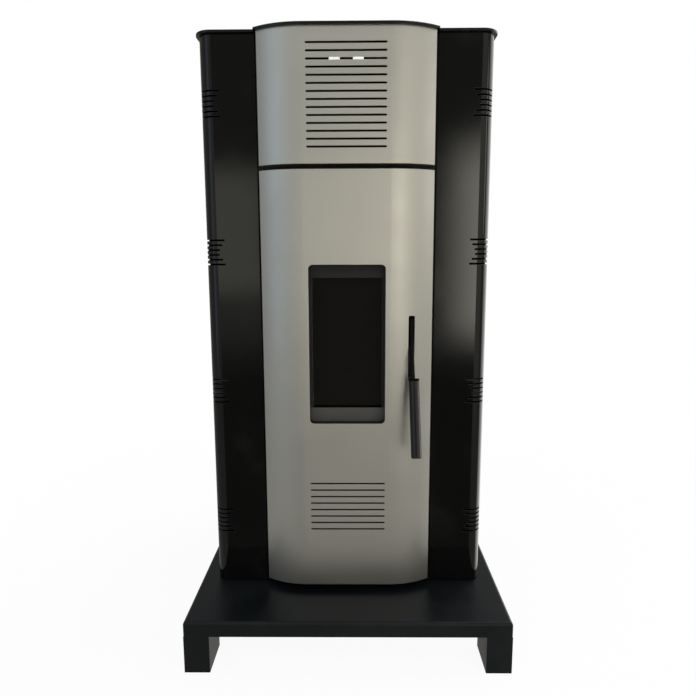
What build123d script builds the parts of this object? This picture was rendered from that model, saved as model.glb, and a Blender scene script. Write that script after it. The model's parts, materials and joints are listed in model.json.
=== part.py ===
from build123d import *
from math import asin, cos, radians, sin, sqrt
import os

# Wood-pellet stove on a low bench stand.
# Millimetres. X to the right, Y to the back, Z up. The origin is on the floor, under the
# middle of the stand, so the door faces -Y. Cutters run about 1 mm past the faces they open.

# ---- stand ----
STAND_W = 600.0
STAND_D = 700.0
STAND_H = 100.0
APRON_H = 28.5
STAND_SHEET = 3.0
STAND_BEND = 6.0
LEG_W = 47.0
LEG_D = 80.0

# ---- casing ----
SHEET = 2.0
BODY_HALF = 268.0
BODY_FRONT = -204.0
BODY_BACK = 298.0
BODY_Z0 = STAND_H + 2.0
BODY_Z1 = 1150.0
CORNER_R = 24.0
PANEL_INNER = 165.0
PANEL_RETURN = 20.0
REAR_FLANGE = 14.0
TOP_T = 5.0
TOP_OVERHANG = 6.0
TOP_ROUND = 1.8
TOP_Z = BODY_Z1 + TOP_T
FRAME_Y = -196.0
PAN_EDGE = 18.0
FEET = [(x, y) for x in (-215, 215) for y in (-150, 245)]
FOOT_R = 20.0
STUD_R = 5.0
STUD_CLEAR = 0.3
STUD_PROUD = 4.0
SCREWS = [(x, z) for x in (-259, 259) for z in (140, 380, 630, 880, 1120)]
SCREW_R = 2.0
SCREW_HEAD_R = 4.0
SCREW_HEAD_H = 2.5
DRIVE_D = 1.0
VENTS = [(x, z) for x in (-170, 170) for z in range(380, 501, 15)]
VENT_LEN = 110.0
VENT_H = 5.0

# ---- crowned front: flat middle, an arc towards each side ----
CROWN_FRONT = -242.0
CROWN_HALF = 160.0
CROWN_FLAT = 80.0
CROWN_R = 142.0
DOOR_BACK = -206.0
DOOR_Z0 = 112.5
DOOR_Z1 = 910.0
FASCIA_Z0 = 919.0

# ---- rows of slots ----
SLOT_LEN = 143.0
FASCIA_SLOTS = 14
FASCIA_SLOT_TOP = 1122.0
FASCIA_PITCH = 13.38
FASCIA_SLOT_H = 3.5
LOWER_SLOTS = 8
LOWER_SLOT_TOP = 321.8
LOWER_PITCH = 13.26
LOWER_SLOT_H = 3.0
CORNER_GROUPS = (1030.5, 763.5, 496.5, 229.5)
CORNER_PITCH = 9.0
CORNER_SLOT_H = 3.0
CORNER_RUNS = (13.5, 9.0, 4.6, 3.6, 9.4, 14.2)

# ---- warm-air duct and its clips ----
DUCT_HALF = 86.0
DUCT_Z0 = 937.0
DUCT_Z1 = 1132.0
DUCT_BACK = -60.0
DUCT_T = 1.5
DUCT_LEDGE = 10.0
CLIP_XS = (-20.6, 21.2)
CLIP_W = 19.4
CLIP_T = 2.0
CLIP_PROUD = 1.5
CLIP_LIP_UP = 2.0
CLIP_LIP_DOWN = 2.4
CLIP_LIP_SLANT = 1.0
CLIP_HOOK = 12.0

# ---- window ----
WIN_W = 142.0
WIN_Z0 = 441.0
WIN_Z1 = 740.5
WIN_R = 8.0
SURROUND_T = 1.5
BAR_T = 2.0
UPPER_BAR_Z = 716.0
LOWER_BAR_Z = 468.0

# ---- fire door: the black casting behind the crowned sheet ----
CAST_FRONT = -222.0
CAST_BACK = -204.0
CAST_HALF = 111.0
CAST_Z0 = 226.0
CAST_Z1 = 809.0
CAST_ROUND = 6.0
CAST_WIN_HALF = 66.0
CAST_WIN_Z0 = 450.0
CAST_WIN_Z1 = 732.0
REBATE_Y = -214.0
REBATE_EDGE = 11.0
BOSSES = [(x, z) for x in (-60, 60) for z in (370, 790)]
BOSS_R = 6.0
GLASS_T = 4.0
GLASS_SLACK = 1.0
GASKET_T = 1.0
GLASS_CLIPS_Z = (480, 590, 700)
GLASS_CLIP_W = 10.0
GLASS_CLIP_H = 30.0
GLASS_CLIP_T = 2.5
ROPE_HALF = 109.0
ROPE_W = 8.0
ROPE_Z0 = 228.0
ROPE_Z1 = 807.0
ROPE_GROOVE = 3.0
FLANGE_FRONT = -199.0
SEAL_GAP = 0.3

# ---- door hinge: lift-off knuckles on upright pins ----
HINGE_X = -149.0
HINGE_Y = -211.0
HINGE_PIN_R = 4.0
HINGE_R = 8.0
KNUCKLE_H = 30.0
LUG_H = 8.0
KNUCKLES_Z = (360.0, 740.0)
LUG_PAD = 16.0
PAD_W = 26.0
PAD_T = 2.0
ARM_OFFSET = 1.5
TAB_FRONT = 2.0
TAB_BACK = 4.0
PIN_PROUD = 2.0
RELIEF_BELOW = 6.0
RELIEF_ABOVE = 12.0
RELIEF_FRONT = 3.5
RELIEF_SLACK = 0.2
RUNNING = 0.05
GAP = 0.5

# ---- handle: a lever that swings outwards on a cross pin behind the sheet ----
LEVER_X = 120.0
PIVOT_Y = -225.0
PIVOT_Z = 638.0
PIVOT_R = 6.5
PIVOT_HALF = 4.0
PIN_R = 2.5
ROD_R = 4.5
ROD_Y = -231.5
ROD_OUT_Y = -250.0
ROD_SHIFT = 1.5
ROD_BENDS_Z = (596.0, 561.0, 530.0)
ROD_BEND_R = 12.0
ROD_COVER = 4.0
SLOT_W = 12.0
SLOT_Z0 = 526.0
SLOT_Z1 = 646.0
SLOT_ROUND = 3.0
GRIP_X = 123.6
GRIP_TOP_Y = -254.0
GRIP_TOP_Z = 526.5
GRIP_LEN = 142.0
GRIP_LEAN = 16.5
GRIP_SKEW = 1.0
GRIP_R = 9.7
GRIP_ROUND = 2.0
COLLAR_R = 10.4
COLLAR_T = 4.0

# ---- latch: the hook on the lever and its catch on the front frame ----
HOOK_HALF = 2.5
HOOK_ARM = 24.0
HOOK_NOSE = 14.0
HOOK_T = 5.0
HOOK_ARM_HALF = 4.0
BRACKET_T = 2.5
BRACKET_HALF_H = 12.0
BRACKET_LIP = 5.0
PIN_END = 8.0
SHOULDER_T = 1.5
CHEEK_XS = (114.5, 123.5)
CHEEK_T = 2.0
CATCH_PIN_Y = -210.0
CATCH_PIN_Z = 650.0
CATCH_PIN_R = 3.0
CATCH_X1 = 140.0
CHEEK_LIP = 5.0
CHEEK_BELOW = 6.0
CHEEK_ABOVE = 8.0
CATCH_PLATE_T = 2.0
CATCH_PLATE_RISE = (3.0, 28.0)

# ---- firebox ----
FIRE_HALF = 102.0
FIRE_BACK = 60.0
FIRE_Z0 = 235.0
FIRE_Z1 = 800.0
PLATE = 4.0
FIRE_INNER = FIRE_HALF - PLATE
FIRE_FLANGE = 112.0
FLANGE_T = 5.0
SEAT_Z = 370.0
SEAT_SETBACK = 8.0
LEG_Y0 = -190.0
LEG_Y1 = 20.0
LINER_T = 15.0
LINER_Y0 = -170.0
LINER_TOP = 690.0
LINER_FACE = FIRE_BACK - PLATE - LINER_T
GROOVE_XS = (-65, -45, 45, 65)
GROOVE_W = 6.0
GROOVE_D = 4.0
GROOVE_Z0 = SEAT_Z + 40.0
GROOVE_Z1 = LINER_TOP - 20.0
BAFFLE_Y0 = -130.0
BAFFLE_T = 6.0

# ---- burner pot, igniter and ash drawer ----
POT_HALF = 45.0
POT_Y0 = -75.0
POT_Y1 = 25.0
POT_WALL = 5.0
POT_FLOOR = 6.0
POT_DEPTH = 35.0
POT_RISE = 30.0
POT_RIM = 8.0
POT_RIM_T = 4.0
POT_SLACK = 1.0
POT_HOLES = [(x, y) for x in (-30, -15, 0, 15, 30) for y in (-60, -42, -25, -8, 10)]
POT_HOLE_R = 3.0
IGNITER_Z = SEAT_Z + 18.0
IGNITER_R = 5.0
IGNITER_CLEAR = 1.5
IGNITER_TAIL = 20.0
IGNITER_FLANGE_R = 11.0
IGNITER_FLANGE_T = 6.0
DRAWER_HALF = 90.0
DRAWER_Y0 = -188.0
DRAWER_Y1 = 40.0
DRAWER_Z0 = 240.0
DRAWER_Z1 = 322.0
DRAWER_T = 3.0
PULL_HALF = 25.0
PULL_D = 6.0
PULL_T = 6.0
PULL_DROP = 20.0

# ---- fuel feed ----
AUGER_Z = 640.0
AUGER_R = 22.0
AUGER_CORE = 6.0
AUGER_TURNS = 2.25
AUGER_FRONT_GAP = 2.0
AUGER_BACK_GAP = 4.0
BLADE_T = 3.0
TUBE_R = 26.0
TUBE_T = 3.0
TUBE_Y1 = 250.0
INLET_HALF = 14.0
OUTLET_LEN = 36.0
HOPPER_HALF = 165.0
HOPPER_Y0 = 75.0
HOPPER_Y1 = 285.0
HOPPER_BEND_Z = 900.0
SPOUT_Y0 = 150.0
SPOUT_Y1 = 230.0
SPOUT_HALF = 17.0
SPOUT_H = 20.0
SPOUT_RISE = 8.0
CHUTE_HALF = 20.0
CHUTE_WALL = 2.0
CHUTE_LEN = 84.0
CHUTE_SLOPE = 50.0
CHUTE_Y = 66.0
CHUTE_Z = 606.0
GEARBOX_HALF_W = 32.0
GEARBOX_HALF_H = 36.0
GEARBOX_D = 20.0
GEARBOX_ROUND = 5.0
GEAR_MOTOR_R = 24.0
GEAR_MOTOR_LEN = 24.0
GEAR_MOTOR_DROP = 8.0

# ---- exhaust fan, flue and air inlet ----
SHAFT_R = 4.0
SHAFT_CLEAR = 2.0
FLUE_X = -30.0
FLUE_Y = 190.0
FLUE_Z = 230.0
FLUE_HALF_W = 30.0
FLUE_HALF_H = 72.0
FLUE_Y0 = 122.0
FLUE_Y1 = 262.0
FLUE_WALL = 3.0
FLUE_CAVITY_R = 64.0
FLUE_ROUND = 18.0
FLUE_FOOT_INSET = 5.0
FLUE_FOOT_HALF = 20.0
FLUE_WHEEL_GAP = 8.0
FLUE_DISC_T = 2.0
FLUE_SHAFT_REACH = 18.0
FLUE_WHEEL_R = 58.0
FLUE_HUB_R = 13.0
FLUE_VANES = 8
FLUE_PORT_R = 24.0
NECK_HALF_W = 25.0
NECK_Z0 = 250.0
NECK_Z1 = 290.0
FLUE_MOTOR_R = 32.0
FLUE_MOTOR_LEN = 50.0
FLUE_MOTOR_ROUND = 6.0
SPIGOT_R = 40.0
SPIGOT_T = 2.0
SPIGOT_END = 345.0
AIR_X = 60.0
AIR_Z = 300.0
AIR_R = 25.0
AIR_T = 1.5

# ---- room-air blower ----
BLOWER_Y = 70.0
BLOWER_Z = 190.0
BLOWER_HALF_L = 112.0
BLOWER_HALF_D = 38.0
BLOWER_HALF_H = 40.0
BLOWER_LIP = 8.0
BLOWER_MOUTH = 26.0
BLOWER_SLOT_EDGE = 12.0
BLOWER_SHAFT_FRONT = 4.0
BLOWER_SHAFT_REACH = 22.0
WHEEL_R = 28.0
WHEEL_HALF = 105.0
WHEEL_VANES = 18
WHEEL_END_T = 2.0
VANE_T = 1.6
VANE_D = 7.0
BLOWER_MOTOR_R = 27.0
BLOWER_MOTOR_LEN = 46.0
BLOWER_MOTOR_ROUND = 5.0
BLOWER_PLATE = 30.0
BLOWER_PLATE_T = 2.5

# ---- hopper opening, seal and lid ----
MOUTH_HALF = 160.0
MOUTH_Y0 = 80.0
MOUTH_Y1 = 260.0
SEAL_T = 2.0
SEAL_HALF = 173.0
SEAL_Y0 = 67.0
SEAL_Y1 = 267.0
LID_HALF = 185.0
LID_Y0 = 15.0
LID_T = 3.0
LID_Z0 = TOP_Z + SEAL_T + SEAL_GAP
LID_ROUND = 10.0
LID_PULL_HALF = 60.0
LID_PULL_H = 14.0
LID_AXIS_Y = 276.0
LID_AXIS_Z = TOP_Z + 6.0
LID_HINGES = (-120.0, 120.0)
BARREL_R = 5.0
BARREL_HALF = 20.0
HINGE_END = 36.0
LID_PIN_R = 2.5
LEAF_T = 2.5
LEAF_D = 20.0
LEAF_INSET = 8.0
LID_BACK_GAP = 2.0
HINGE_NOTCH_D = 7.0
HINGE_NOTCH_H = 8.0

# ---- control panel ----
PANEL_HALF = 75.0
PANEL_Y0 = -160.0
PANEL_Y1 = -90.0
PANEL_T = 2.0
PANEL_LIP = 5.0
PANEL_ROUND = 6.0
TRAY_DEPTH = 22.0
TRAY_WALL = 2.0
POCKET_D = 2.0
DISPLAY_BED = 1.0
DISPLAY_SINK = 0.4
DISPLAY_X = (-62.0, -12.0)
DISPLAY_HALF = 16.0
BUTTON_R = 6.0
BUTTON_CLEAR = 0.3
BUTTON_PROUD = 1.6
BUTTON_RIM = 1.5
BUTTON_RIM_DROP = 1.4
BUTTON_ROUND = 0.8
BUTTON_DEPTH = 4.0
BUTTON_Y = -125.0
BUTTONS = {"power": 58.0, "up": 40.0, "down": 22.0, "set": 4.0}

# ---- electrics ----
BOX_X1 = -206.0
BOX_Y = (-100.0, 60.0)
BOX_Z = (500.0, 700.0)
BOX_RIBS = range(530, 671, 20)
BOX_ROUND = 4.0
BOX_RIB_D = 2.0
BOX_RIB_HALF = 2.0
BOX_RIB_INSET = 20.0
INLET_X = 168.0
INLET_Z = 163.0
INLET_PLATE_X = (144.0, 220.0)
INLET_PLATE_Z = (142.0, 184.0)
INLET_CUT_X = (148.0, 216.0)
INLET_CUT_Z = (146.0, 180.0)
INLET_DEPTH = 24.0
INLET_SLACK = 0.5
INLET_PLATE_T = 2.0
SOCKET_HALF_W = 12.0
SOCKET_HALF_H = 8.0
SOCKET_DEPTH = 18.0
BLADE_XS = (-7.0, 0.0, 7.0)
CONTACT_HALF_W = 1.0
CONTACT_HALF_H = 2.0
CONTACT_END = 2.0
ROCKER_X = 203.0
ROCKER_HALF = 6.0
ROCKER_R = 10.5
ROCKER_TILT = 8.0
ROCKER_AXLE_R = 1.5
ROCKER_AXLE_PROUD = 1.8
ROCKER_POCKET_D = 12.0
ROCKER_SIDE_GAP = 0.5
ROCKER_END_GAP = 1.5
ROCKER_Y = (-9.0, 5.5)
ROCKER_DISH_R = 21.5
ROCKER_DISH_Y = 26.0


def block(x0, x1, y0, y1, z0, z1):
    """A box between two corners."""
    centre = Pos((x0 + x1) / 2, (y0 + y1) / 2, (z0 + z1) / 2)
    return centre * Box(x1 - x0, y1 - y0, z1 - z0)


def rod_x(x0, x1, y, z, r):
    """A round bar along X."""
    return Pos((x0 + x1) / 2, y, z) * Rot(0, 90, 0) * Cylinder(r, x1 - x0)


def rod_y(y0, y1, x, z, r):
    """A round bar along Y."""
    return Pos(x, (y0 + y1) / 2, z) * Rot(90, 0, 0) * Cylinder(r, y1 - y0)


def rod_z(z0, z1, x, y, r):
    """A round bar along Z."""
    return Pos(x, y, (z0 + z1) / 2) * Cylinder(r, z1 - z0)


def front_plate(sketch, x, z, y0, y1):
    """A sketch drawn as seen from the front, made solid from y0 back to y1."""
    face = Plane(origin=(x, y0, z), x_dir=(1, 0, 0), z_dir=(0, -1, 0)) * sketch
    return extrude(face, -(y1 - y0))


def slab(face, z0, z1):
    """A plan outline made solid between two heights."""
    return extrude(Pos(0, 0, z0) * face, z1 - z0)


def largest(shape):
    """The biggest solid of a shape."""
    return max(shape.solids(), key=lambda solid: solid.volume)


def save(node, *solids):
    """Writes one sub-part, as separate solids where it has more than one."""
    pieces = [piece for solid in solids for piece in solid.solids()]
    shape = pieces[0] if len(pieces) == 1 else Compound(children=pieces)
    export_step(shape, f"parts/{node}.step")


def crown_face(inset, back_y):
    """Plan outline of the crowned front, moved in by inset, closed by a straight back."""
    half = CROWN_HALF - inset
    front = CROWN_FRONT + inset
    radius = CROWN_R - inset
    centre_y = CROWN_FRONT + CROWN_R
    reach = half - CROWN_FLAT
    edge_y = centre_y - sqrt(radius**2 - reach**2)
    turn = asin(reach / radius) / 2
    mid_x = CROWN_FLAT + radius * sin(turn)
    mid_y = centre_y - radius * cos(turn)
    sides = [
        Line((-half, back_y), (-half, edge_y)),
        ThreePointArc((-half, edge_y), (-mid_x, mid_y), (-CROWN_FLAT, front)),
        Line((-CROWN_FLAT, front), (CROWN_FLAT, front)),
        ThreePointArc((CROWN_FLAT, front), (mid_x, mid_y), (half, edge_y)),
        Line((half, edge_y), (half, back_y)),
        Line((half, back_y), (-half, back_y)),
    ]
    return make_face(Curve() + sides)


def body_face(inset):
    """Plan outline of the casing with its round front corners, moved in by inset."""
    half = BODY_HALF - inset
    front = BODY_FRONT + inset
    back = BODY_BACK - inset
    radius = CORNER_R - inset
    bend = radius * (1 - sqrt(0.5))
    sides = [
        Line((-half, back), (-half, front + radius)),
        ThreePointArc((-half, front + radius), (-half + bend, front + bend), (-half + radius, front)),
        Line((-half + radius, front), (half - radius, front)),
        ThreePointArc((half - radius, front), (half - bend, front + bend), (half, front + radius)),
        Line((half, front + radius), (half, back)),
        Line((half, back), (-half, back)),
    ]
    return make_face(Curve() + sides)


def crowned_tray(z0, z1, back_y):
    """A crowned sheet with a flange turned back along each of its four edges."""
    outer = slab(crown_face(0, back_y), z0, z1)
    return outer - slab(crown_face(SHEET, back_y + 5), z0 + SHEET, z1 - SHEET)


def slot_row(count, top_z, pitch, height):
    """Cutters for a column of round-ended slots through the crowned front."""
    shape = SlotOverall(SLOT_LEN, height)
    levels = [top_z - pitch * i for i in range(count)]
    return [front_plate(shape, 0, z, CROWN_FRONT - 5, CROWN_FRONT + 8) for z in levels]


# ---------------------------------------------------------------- stand


def stand():
    """Folded tray on four short posts, whose upper ends are let into it."""
    half_w = STAND_W / 2
    half_d = STAND_D / 2
    apron_z = STAND_H - APRON_H
    t = STAND_SHEET
    tray = block(-half_w, half_w, -half_d, half_d, apron_z, STAND_H)
    tray = fillet(tray.edges().group_by(Axis.Z)[-1], STAND_BEND)
    tray = fillet(tray.edges().filter_by(Axis.Z), STAND_BEND / 2)
    tray -= block(-half_w + t, half_w - t, -half_d + t, half_d - t, apron_z, STAND_H - t)
    save("stand_top", tray)

    posts = []
    for side in (-1, 1):
        for end in (-1, 1):
            x0, x1 = sorted((side * half_w, side * (half_w - LEG_W)))
            y0, y1 = sorted((end * half_d, end * (half_d - LEG_D)))
            post = block(x0, x1, y0, y1, 0, apron_z)
            post += block(x0 + t, x1 - t, y0 + t, y1 - t, apron_z, STAND_H - t)
            post -= block(x0 + t, x1 - t, y0 + t, y1 - t, t, apron_z - t)
            posts.append(post)
    save("stand_legs", *posts)


# ---------------------------------------------------------------- casing


def base():
    """Base pan with turned-up edges, on four screw feet."""
    z0 = BODY_Z0
    rim_z = z0 + PAN_EDGE
    pan = slab(body_face(SHEET), z0, rim_z)
    pan -= slab(body_face(2 * SHEET), z0 + SHEET, rim_z + 1)
    front_half = PANEL_INNER + PANEL_RETURN
    pan -= block(-front_half, front_half, BODY_FRONT - 1, FRAME_Y + SHEET + 1, z0 + SHEET, rim_z + 1)
    pan -= [rod_z(z0 - 1, z0 + SHEET + 1, x, y, STUD_R + STUD_CLEAR) for x, y in FEET]
    save("base_pan", pan)

    feet = []
    for x, y in FEET:
        disc = rod_z(STAND_H, z0, x, y, FOOT_R)
        feet.append(disc + rod_z(z0 - 1, rim_z + STUD_PROUD, x, y, STUD_R))
    save("levelling_feet", *feet)


def corner_slots():
    """Cutters for the four groups of slots that wrap round the right-hand corner."""
    cutters = []
    tangent_x = BODY_HALF - CORNER_R
    tangent_y = BODY_FRONT + CORNER_R
    half = CORNER_SLOT_H / 2
    middle = (len(CORNER_RUNS) - 1) / 2
    for centre in CORNER_GROUPS:
        for i, run in enumerate(CORNER_RUNS):
            z = centre + CORNER_PITCH * (middle - i)
            x0 = tangent_x - run
            y1 = tangent_y + run
            cutters.append(block(x0, BODY_HALF + 2, BODY_FRONT - 2, y1, z - half, z + half))
    return cutters


def side_panels():
    """Two folded steel sides, each with a round front corner and slots through it."""
    ring = slab(body_face(0) - body_face(SHEET), BODY_Z0, BODY_Z1)
    inner_back = BODY_HALF - REAR_FLANGE
    z0 = BODY_Z0 - 1
    z1 = BODY_Z1 + 1
    ring -= block(-PANEL_INNER, PANEL_INNER, BODY_FRONT - 1, 0, z0, z1)
    ring -= block(-inner_back, inner_back, 0, BODY_BACK + 1, z0, z1)
    right = ring & block(0, BODY_HALF, BODY_FRONT, BODY_BACK, BODY_Z0, BODY_Z1)
    return_back = BODY_FRONT + PANEL_RETURN
    right += block(
        PANEL_INNER, PANEL_INNER + SHEET, BODY_FRONT, return_back, BODY_Z0 + SHEET, BODY_Z1
    )
    right -= corner_slots()
    save("right_side_panel", right)
    save("left_side_panel", mirror(right, Plane.YZ))


def rear():
    """Back sheet with vents and holes for the flue, the air inlet and the mains inlet."""
    y0 = BODY_BACK
    y1 = y0 + SHEET
    half = BODY_HALF - SHEET
    sheet = block(-half, half, y0, y1, BODY_Z0 + SHEET, BODY_Z1 - SHEET)
    holes = [
        rod_y(y0 - 1, y1 + 1, FLUE_X, FLUE_Z, SPIGOT_R + 1),
        rod_y(y0 - 1, y1 + 1, AIR_X, AIR_Z, AIR_R + 1),
        block(*INLET_CUT_X, y0 - 1, y1 + 1, *INLET_CUT_Z),
    ]
    holes += [rod_y(y0 - 1, y1 + 1, x, z, SCREW_R + RUNNING) for x, z in SCREWS]
    holes += [front_plate(SlotOverall(VENT_LEN, VENT_H), x, z, y0 - 1, y1 + 1) for x, z in VENTS]
    save("rear_panel", sheet - holes)

    screws = []
    for x, z in SCREWS:
        screw = rod_y(y1, y1 + SCREW_HEAD_H, x, z, SCREW_HEAD_R) + rod_y(y0, y1, x, z, SCREW_R)
        drive = Rectangle(1.5 * SCREW_HEAD_R, 0.3 * SCREW_HEAD_R)
        head_y = y1 + SCREW_HEAD_H
        screws.append(screw - front_plate(drive, x, z, head_y - DRIVE_D, head_y + 1))
    save("panel_screws", *screws)


def top():
    """Top plate that overhangs the casing and follows the crowned front."""
    plan = body_face(-TOP_OVERHANG) + crown_face(-TOP_OVERHANG + 1, BODY_FRONT + PANEL_RETURN)
    plate = slab(plan, BODY_Z1, TOP_Z)
    plate = fillet(plate.edges().group_by(Axis.Z)[-1], TOP_ROUND)
    z0 = BODY_Z1 - 1
    z1 = TOP_Z + 1
    plate -= block(-MOUTH_HALF, MOUTH_HALF, MOUTH_Y0, MOUTH_Y1, z0, z1)
    half = PANEL_HALF - PANEL_LIP
    plate -= block(-half, half, PANEL_Y0 + PANEL_LIP, PANEL_Y1 - PANEL_LIP, z0, z1)
    save("top_plate", plate)


def front_frame():
    """Black sheet behind the silver front, with the fire door and warm-air openings."""
    y0 = FRAME_Y
    y1 = y0 + SHEET
    fire_half = FIRE_FLANGE + 1
    sheet = block(-PANEL_INNER, PANEL_INNER, y0, y1, BODY_Z0 + SHEET, BODY_Z1)
    sheet -= block(-fire_half, fire_half, y0 - 1, y1 + 1, CAST_Z0 - 1, CAST_Z1 + 1)
    sheet -= block(-DUCT_HALF, DUCT_HALF, y0 - 1, y1 + 1, DUCT_Z0, DUCT_Z1)
    save("front_frame", sheet)


# ---------------------------------------------------------------- warm-air outlet


def fascia():
    """Upper crowned sheet with the warm-air slots, and the two spring clips in one slot."""
    sheet = crowned_tray(FASCIA_Z0, BODY_Z1, FRAME_Y)
    sheet -= slot_row(FASCIA_SLOTS, FASCIA_SLOT_TOP, FASCIA_PITCH, FASCIA_SLOT_H)
    save("upper_fascia", sheet)

    z = FASCIA_SLOT_TOP - 2 * FASCIA_PITCH
    half_t = CLIP_T / 2
    lip_y = CROWN_FRONT - CLIP_PROUD
    hook_y = CROWN_FRONT + CLIP_HOOK
    back_y = hook_y + CLIP_T
    half_w = CLIP_W / 2
    slant = CLIP_LIP_SLANT
    lip = Polygon(
        (-half_w, -CLIP_LIP_DOWN),
        (half_w, -CLIP_LIP_DOWN),
        (half_w - slant, CLIP_LIP_UP),
        (-half_w + slant, CLIP_LIP_UP),
        align=None,
    )
    clips = []
    for x in CLIP_XS:
        x0 = x - half_w
        x1 = x + half_w
        clip = block(x0, x1, lip_y, back_y, z - half_t, z + half_t)
        clip += block(x0, x1, hook_y, back_y, z + half_t, z + CLIP_HOOK)
        clips.append(clip + front_plate(lip, x, z, lip_y, CROWN_FRONT))
    save("fascia_clips", *clips)


def duct():
    """Sheet duct behind the fascia, open to the front and through its floor."""
    half = DUCT_HALF
    box = block(-half, half, FRAME_Y, DUCT_BACK, DUCT_Z0, DUCT_Z1)
    inner = half - DUCT_T
    box -= block(-inner, inner, FRAME_Y - 1, DUCT_BACK - DUCT_T, DUCT_Z0 + DUCT_T, DUCT_Z1 - DUCT_T)
    mouth = half - DUCT_LEDGE
    y0 = FRAME_Y + DUCT_LEDGE
    box -= block(-mouth, mouth, y0, DUCT_BACK - DUCT_LEDGE, DUCT_Z0 - 1, DUCT_Z0 + 3)
    save("warm_air_duct", box)


# ---------------------------------------------------------------- door


def window_sketch(grow=0.0):
    """The window's outline, grown by a margin all round."""
    return RectangleRounded(WIN_W + 2 * grow, WIN_Z1 - WIN_Z0 + 2 * grow, WIN_R + grow)


WIN_MID = (WIN_Z0 + WIN_Z1) / 2


def door_sheet():
    """Crowned door sheet with the window, the lever slot and the lower slots."""
    sheet = crowned_tray(DOOR_Z0, DOOR_Z1, DOOR_BACK)
    sheet -= slot_row(LOWER_SLOTS, LOWER_SLOT_TOP, LOWER_PITCH, LOWER_SLOT_H)
    sheet -= front_plate(window_sketch(), 0, WIN_MID, CROWN_FRONT - 1, CROWN_FRONT + 4)
    lever_slot = RectangleRounded(SLOT_W, SLOT_Z1 - SLOT_Z0, SLOT_ROUND)
    slot_mid = (SLOT_Z0 + SLOT_Z1) / 2
    sheet -= front_plate(lever_slot, LEVER_X, slot_mid, CROWN_FRONT - 1, CROWN_FRONT + 14)
    for z in KNUCKLES_Z:
        x1 = -CROWN_HALF + SHEET + RELIEF_SLACK
        z0 = z - LUG_H - LUG_PAD - RELIEF_BELOW
        z1 = z + KNUCKLE_H + RELIEF_ABOVE
        sheet -= block(-CROWN_HALF - 1, x1, HINGE_Y - RELIEF_FRONT, DOOR_BACK + 1, z0, z1)
    save("door_panel", sheet)

    ring = window_sketch(SURROUND_T) - window_sketch()
    save("window_surround", front_plate(ring, 0, WIN_MID, CROWN_FRONT + SHEET, CAST_FRONT))


def rope_ring(y0, y1):
    """The rectangular run of the sealing rope."""
    inner = ROPE_HALF - ROPE_W
    ring = block(-ROPE_HALF, ROPE_HALF, y0, y1, ROPE_Z0, ROPE_Z1)
    return ring - block(-inner, inner, y0 - 1, y1 + 1, ROPE_Z0 + ROPE_W, ROPE_Z1 - ROPE_W)


def fire_door():
    """Black casting with the window, the glass rebate, the rope groove and four bosses."""
    cast = block(-CAST_HALF, CAST_HALF, CAST_FRONT, CAST_BACK, CAST_Z0, CAST_Z1)
    cast = fillet(cast.edges().filter_by(Axis.Y), CAST_ROUND)
    half = CAST_WIN_HALF
    cast -= block(-half, half, CAST_FRONT - 1, CAST_BACK + 1, CAST_WIN_Z0, CAST_WIN_Z1)
    cast -= rebate(0, REBATE_Y, CAST_BACK + 1)
    cast -= rope_ring(CAST_BACK - ROPE_GROOVE, CAST_BACK + 1)
    cast += [rod_y(CROWN_FRONT + SHEET, CAST_FRONT, x, z, BOSS_R) for x, z in BOSSES]
    save("fire_door", cast)
    save("door_rope_gasket", rope_ring(CAST_BACK - ROPE_GROOVE, FLANGE_FRONT - SEAL_GAP))


def rebate(slack, y0, y1):
    """The step round the casting's window that holds the glass."""
    half = CAST_WIN_HALF + REBATE_EDGE - slack
    z0 = CAST_WIN_Z0 - REBATE_EDGE + slack
    z1 = CAST_WIN_Z1 + REBATE_EDGE - slack
    return block(-half, half, y0, y1, z0, z1)


def glazing():
    """Glass, its gasket and clips, and the two bars in front of the glass."""
    glass_y = REBATE_Y + GASKET_T
    clip_y = glass_y + GLASS_T
    half = CAST_WIN_HALF
    tape = rebate(0, REBATE_Y, glass_y)
    tape -= block(-half, half, REBATE_Y - 1, glass_y + 1, CAST_WIN_Z0, CAST_WIN_Z1)
    save("glass_gasket", tape)
    save("door_glass", rebate(GLASS_SLACK, glass_y, clip_y))

    clips = []
    for side in (-1, 1):
        for z in GLASS_CLIPS_Z:
            x = side * (half + REBATE_EDGE - GLASS_CLIP_W / 2)
            x0 = x - GLASS_CLIP_W / 2
            x1 = x + GLASS_CLIP_W / 2
            z0 = z - GLASS_CLIP_H / 2
            z1 = z + GLASS_CLIP_H / 2
            clips.append(block(x0, x1, clip_y, clip_y + GLASS_CLIP_T, z0, z1))
    save("glass_clips", *clips)

    bar_y = CAST_FRONT - BAR_T
    field = front_plate(window_sketch(-RUNNING), 0, WIN_MID, bar_y, CAST_FRONT)
    save("upper_glass_bar", field & block(-WIN_W, WIN_W, bar_y, CAST_FRONT, UPPER_BAR_Z, WIN_Z1))
    save("lower_glass_bar", field & block(-WIN_W, WIN_W, bar_y, CAST_FRONT, WIN_Z0, LOWER_BAR_Z))


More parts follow.
